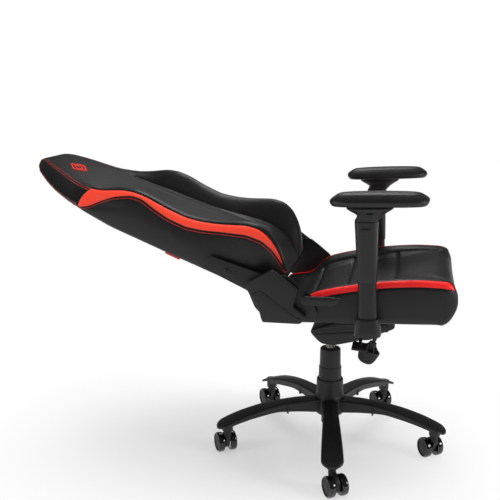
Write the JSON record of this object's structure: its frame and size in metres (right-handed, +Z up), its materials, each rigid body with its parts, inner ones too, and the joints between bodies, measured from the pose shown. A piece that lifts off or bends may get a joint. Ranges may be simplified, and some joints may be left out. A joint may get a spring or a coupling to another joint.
{
  "type": "gaming chair",
  "caption": "Reclining gaming chair with a winged backrest, bolstered seat, adjustable armrests, gas-lift column and a star base on casters.",
  "frame": {"origin": "on the floor, under the middle of the chair's bounding box with the backrest reclined; the chair's middle plane is 17.5 mm to the left of it", "axes": "+X is the chair's front, +Y its left side, +Z up"},
  "size_m": [1.2485, 0.7218, 0.8871],
  "materials": {
    "coated_aluminium": "black powder coat, satin",
    "bright_steel": "ground and polished",
    "black_steel": "black powder coat, fine texture",
    "upholstery": "black synthetic leather with red stripes over foam",
    "plywood": "raw",
    "wheel_plastic": "gloss rims on matt discs",
    "pad_skin": "soft moulded polyurethane",
    "black_plastic": "fine moulded grain"
  },
  "bodies": {
    "base": {"star_base": "coated_aluminium", "gas_cylinder": "black_steel", "cover_lower": "black_plastic"},
    "cover_stage": {"cover_middle": "black_plastic"},
    "lift": {"gas_piston": "bright_steel", "cover_upper": "black_plastic"},
    "mechanism": {"tilt_housing": "coated_aluminium", "tilt_pin": "bright_steel"},
    "tension_knob": {"tension_knob": "black_plastic"},
    "height_lever": {"height_lever": "black_steel"},
    "tilt_lever": {"tilt_lever": "black_steel"},
    "seat": {"tilt_plate": "black_steel", "seat_pan": "plywood", "seat_cushion": "upholstery", "recline_shaft": "bright_steel", "hinge_plate_right": "black_steel", "hinge_plate_left": "black_steel", "recliner_cover_right": "black_plastic", "recliner_cover_left": "black_plastic", "arm_bracket_right": "black_steel", "arm_bracket_left": "black_steel", "arm_post_right": "black_steel", "arm_post_left": "black_steel", "arm_boot_right": "black_plastic", "arm_boot_left": "black_plastic"},
    "recline_lever": {"recline_lever": "black_plastic", "lever_screw": "bright_steel"},
    "back": {"back_frame": "black_steel", "back_cushion": "upholstery", "back_arm_right": "black_steel", "back_arm_left": "black_steel", "back_bolt_right": "black_steel", "back_bolt_left": "black_steel"},
    "arm_sleeve_right": {"arm_sleeve_right": "black_plastic"},
    "arm_button_right": {"arm_button_right": "black_plastic"},
    "arm_carrier_right": {"arm_carrier_right": "black_plastic"},
    "arm_slide_right": {"arm_slide_right": "black_plastic"},
    "arm_pad_right": {"arm_pad_right": "pad_skin"},
    "arm_sleeve_left": {"arm_sleeve_left": "black_plastic"},
    "arm_button_left": {"arm_button_left": "black_plastic"},
    "arm_carrier_left": {"arm_carrier_left": "black_plastic"},
    "arm_slide_left": {"arm_slide_left": "black_plastic"},
    "arm_pad_left": {"arm_pad_left": "pad_skin"},
    "caster_1": {"caster_fork_1": "black_plastic"},
    "wheels_1": {"caster_wheels_1": "wheel_plastic"},
    "caster_2": {"caster_fork_2": "black_plastic"},
    "wheels_2": {"caster_wheels_2": "wheel_plastic"},
    "caster_3": {"caster_fork_3": "black_plastic"},
    "wheels_3": {"caster_wheels_3": "wheel_plastic"},
    "caster_4": {"caster_fork_4": "black_plastic"},
    "wheels_4": {"caster_wheels_4": "wheel_plastic"},
    "caster_5": {"caster_fork_5": "black_plastic"},
    "wheels_5": {"caster_wheels_5": "wheel_plastic"}
  },
  "joints": [
    {"name": "lift_height", "type": "slide", "parent": "base", "child": "lift", "axis": [0, 0, 1], "range_m": [-0.075, 0]},
    {"name": "cover_stage_slide", "type": "slide", "parent": "base", "child": "cover_stage", "axis": [0, 0, 1], "range_m": [-0.0375, 0]},
    {"name": "seat_swivel", "type": "hinge", "parent": "lift", "child": "mechanism", "pos_m": [0.2635, 0.0175, 0.36], "axis": [0, 0, 1], "continuous": true},
    {"name": "seat_rock", "type": "hinge", "parent": "mechanism", "child": "seat", "pos_m": [0.4255, 0.0175, 0.402], "axis": [0, -1, 0], "range_deg": [0, 12], "stiffness_Nm_per_rad": 160, "springref_deg": -34.38},
    {"name": "tension_knob_turn", "type": "hinge", "parent": "mechanism", "child": "tension_knob", "pos_m": [0.3845, -0.0125, 0.318], "axis": [0.3746, 0, 0.9272], "range_deg": [-360, 360]},
    {"name": "height_lever_pull", "type": "hinge", "parent": "mechanism", "child": "height_lever", "pos_m": [0.3515, -0.0725, 0.392], "axis": [0, -1, 0], "range_deg": [0, 10], "stiffness_Nm_per_rad": 1, "springref_deg": -17.19},
    {"name": "tilt_lever_turn", "type": "hinge", "parent": "mechanism", "child": "tilt_lever", "pos_m": [0.3515, 0.1075, 0.392], "axis": [0, -1, 0], "range_deg": [0, 12]},
    {"name": "recline_lever_pull", "type": "hinge", "parent": "seat", "child": "recline_lever", "pos_m": [0.2215, -0.2765, 0.534], "axis": [0, -1, 0], "range_deg": [0, 25], "stiffness_Nm_per_rad": 0.5, "springref_deg": -17.19},
    {"name": "back_recline", "type": "hinge", "parent": "seat", "child": "back", "pos_m": [0.1085, 0.0175, 0.512], "axis": [0, 1, 0], "range_deg": [0, 60]},
    {"name": "arm_height_right", "type": "slide", "parent": "seat", "child": "arm_sleeve_right", "axis": [-0.0349, 0, 0.9994], "range_m": [-0.075, 0]},
    {"name": "arm_button_right_press", "type": "slide", "parent": "arm_sleeve_right", "child": "arm_button_right", "axis": [0, 1, 0], "range_m": [0, 0.003], "stiffness_N_per_m": 300, "springref_m": -0.002},
    {"name": "arm_swivel_right", "type": "hinge", "parent": "arm_sleeve_right", "child": "arm_carrier_right", "pos_m": [0.3788, -0.2705, 0.7542], "axis": [-0.0349, 0, 0.9994], "range_deg": [-25, 25]},
    {"name": "arm_fore_aft_right", "type": "slide", "parent": "arm_carrier_right", "child": "arm_slide_right", "axis": [0.9994, 0, 0.0349], "range_m": [-0.04, 0.01]},
    {"name": "arm_side_right", "type": "slide", "parent": "arm_slide_right", "child": "arm_pad_right", "axis": [0, 1, 0], "range_m": [-0.0125, 0.0125]},
    {"name": "arm_height_left", "type": "slide", "parent": "seat", "child": "arm_sleeve_left", "axis": [-0.0349, 0, 0.9994], "range_m": [-0.075, 0]},
    {"name": "arm_button_left_press", "type": "slide", "parent": "arm_sleeve_left", "child": "arm_button_left", "axis": [0, -1, 0], "range_m": [0, 0.003], "stiffness_N_per_m": 300, "springref_m": -0.002},
    {"name": "arm_swivel_left", "type": "hinge", "parent": "arm_sleeve_left", "child": "arm_carrier_left", "pos_m": [0.3788, 0.3055, 0.7542], "axis": [-0.0349, 0, 0.9994], "range_deg": [-25, 25]},
    {"name": "arm_fore_aft_left", "type": "slide", "parent": "arm_carrier_left", "child": "arm_slide_left", "axis": [0.9994, 0, 0.0349], "range_m": [-0.04, 0.01]},
    {"name": "arm_side_left", "type": "slide", "parent": "arm_slide_left", "child": "arm_pad_left", "axis": [0, 1, 0], "range_m": [-0.0125, 0.0125]},
    {"name": "caster_swivel_1", "type": "hinge", "parent": "base", "child": "caster_1", "pos_m": [0.30423, -0.30494, 0.08], "axis": [0, 0, 1], "continuous": true},
    {"name": "wheel_roll_1", "type": "hinge", "parent": "caster_1", "child": "wheels_1", "pos_m": [0.31483, -0.3219, 0.03], "axis": [0.848, 0.5299, 0], "continuous": true},
    {"name": "caster_swivel_2", "type": "hinge", "parent": "base", "child": "caster_2", "pos_m": [0.58274, -0.0434, 0.08], "axis": [0, 0, 1], "continuous": true},
    {"name": "wheel_roll_2", "type": "hinge", "parent": "caster_2", "child": "wheels_2", "pos_m": [0.57215, -0.02644, 0.03], "axis": [0.848, 0.5299, 0], "continuous": true},
    {"name": "caster_swivel_3", "type": "hinge", "parent": "base", "child": "caster_3", "pos_m": [0.42007, 0.3023, 0.08], "axis": [0, 0, 1], "continuous": true},
    {"name": "wheel_roll_3", "type": "hinge", "parent": "caster_3", "child": "wheels_3", "pos_m": [0.40947, 0.31926, 0.03], "axis": [0.848, 0.5299, 0], "continuous": true},
    {"name": "caster_swivel_4", "type": "hinge", "parent": "base", "child": "caster_4", "pos_m": [0.04102, 0.25442, 0.08], "axis": [0, 0, 1], "continuous": true},
    {"name": "wheel_roll_4", "type": "hinge", "parent": "caster_4", "child": "wheels_4", "pos_m": [0.03042, 0.27138, 0.03], "axis": [0.848, 0.5299, 0], "continuous": true},
    {"name": "caster_swivel_5", "type": "hinge", "parent": "base", "child": "caster_5", "pos_m": [-0.03057, -0.12088, 0.08], "axis": [0, 0, 1], "continuous": true},
    {"name": "wheel_roll_5", "type": "hinge", "parent": "caster_5", "child": "wheels_5", "pos_m": [-0.04117, -0.10392, 0.03], "axis": [0.848, 0.5299, 0], "continuous": true}
  ],
  "couplings": [
    {"joint": "cover_stage_slide", "follows": "lift_height", "ratio": 0.5}
  ]
}
